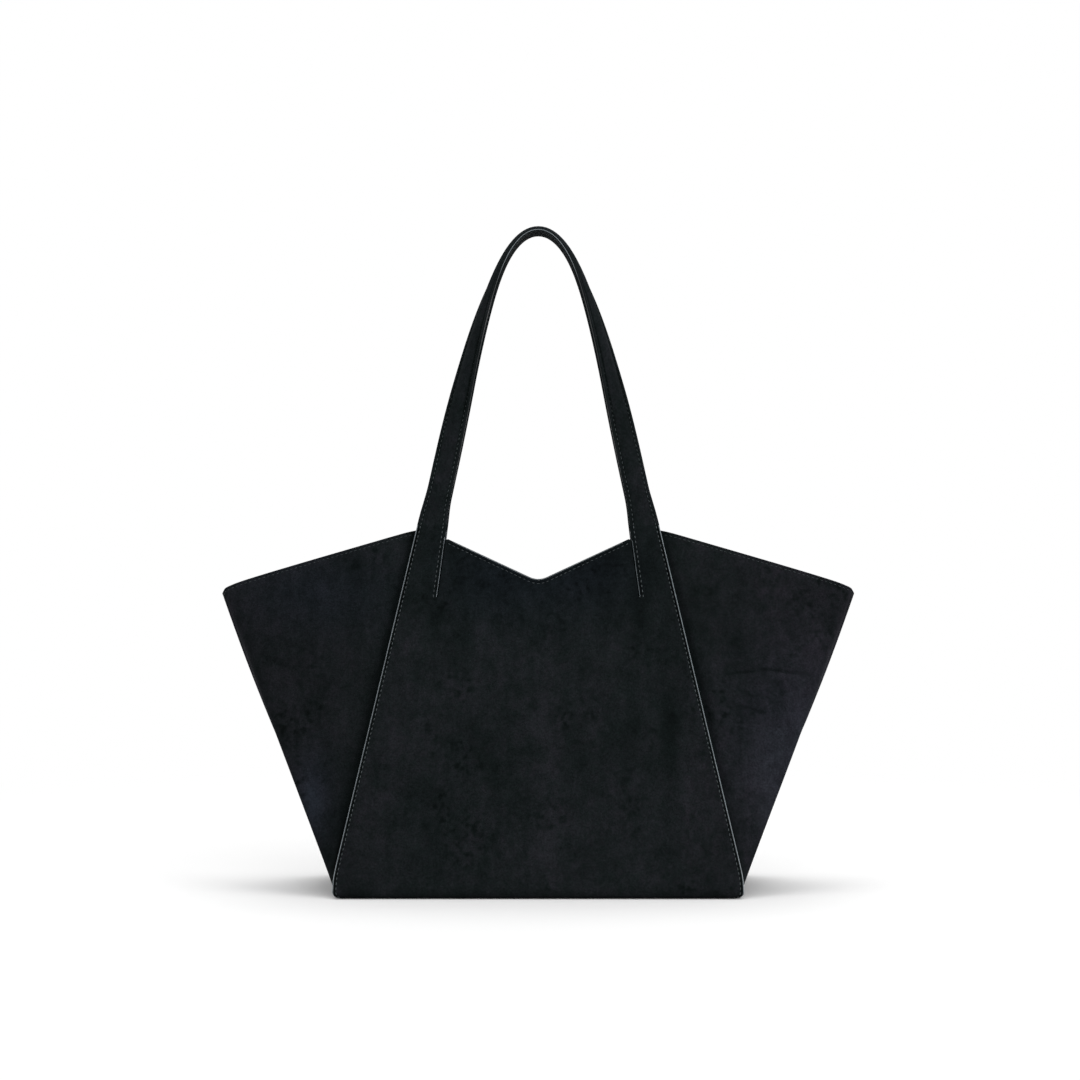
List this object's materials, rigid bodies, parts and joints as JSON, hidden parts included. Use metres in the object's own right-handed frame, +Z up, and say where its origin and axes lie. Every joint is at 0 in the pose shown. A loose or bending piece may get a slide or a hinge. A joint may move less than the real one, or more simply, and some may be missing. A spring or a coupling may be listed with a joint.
{
  "type": "tote bag",
  "caption": "Suede tote bag with a wide base, a narrow V-notched mouth, side gussets folded out as pointed wings and tall padded carrying straps that fold outwards.",
  "frame": {"origin": "middle of the underside of the base, on the surface that the bag stands on", "axes": "+X along the bag towards the right wing, +Y towards the back, so the front faces -Y, +Z up"},
  "size_m": [0.506, 0.16, 0.5259],
  "materials": {
    "suede": "black napped suede, matt, with painted cut edges",
    "lining": "black cotton twill",
    "interlining": "dark felt",
    "board": "bonded leather board",
    "nickel": "nickel-plated steel"
  },
  "bodies": {
    "bag": {"front_panel": "suede", "back_panel": "suede", "left_gusset": "suede", "right_gusset": "suede", "base_panel": "suede", "base_board": "board", "base_lining": "lining", "front_interlining": "interlining", "back_interlining": "interlining", "front_lining": "lining", "back_lining": "lining", "left_gusset_lining": "lining", "right_gusset_lining": "lining", "front_rim_facing": "suede", "back_rim_facing": "suede", "left_gusset_facing": "suede", "right_gusset_facing": "suede", "front_strap_anchor_1": "interlining", "front_strap_anchor_2": "interlining", "back_strap_anchor_1": "interlining", "back_strap_anchor_2": "interlining", "snap_stud": "nickel", "snap_stud_plate": "nickel", "snap_socket": "nickel", "snap_socket_plate": "nickel"},
    "front_handle": {"front_handle_strap": "suede", "front_handle_filler": "interlining", "front_handle_lining": "suede"},
    "back_handle": {"back_handle_strap": "suede", "back_handle_filler": "interlining", "back_handle_lining": "suede"}
  },
  "joints": [
    {"name": "front_handle_fold", "type": "hinge", "parent": "bag", "child": "front_handle", "pos_m": [0, -0.0183, 0.288], "axis": [1, 0, 0], "range_deg": [0, 155]},
    {"name": "back_handle_fold", "type": "hinge", "parent": "bag", "child": "back_handle", "pos_m": [0, 0.0183, 0.288], "axis": [-1, 0, 0], "range_deg": [0, 155]}
  ]
}
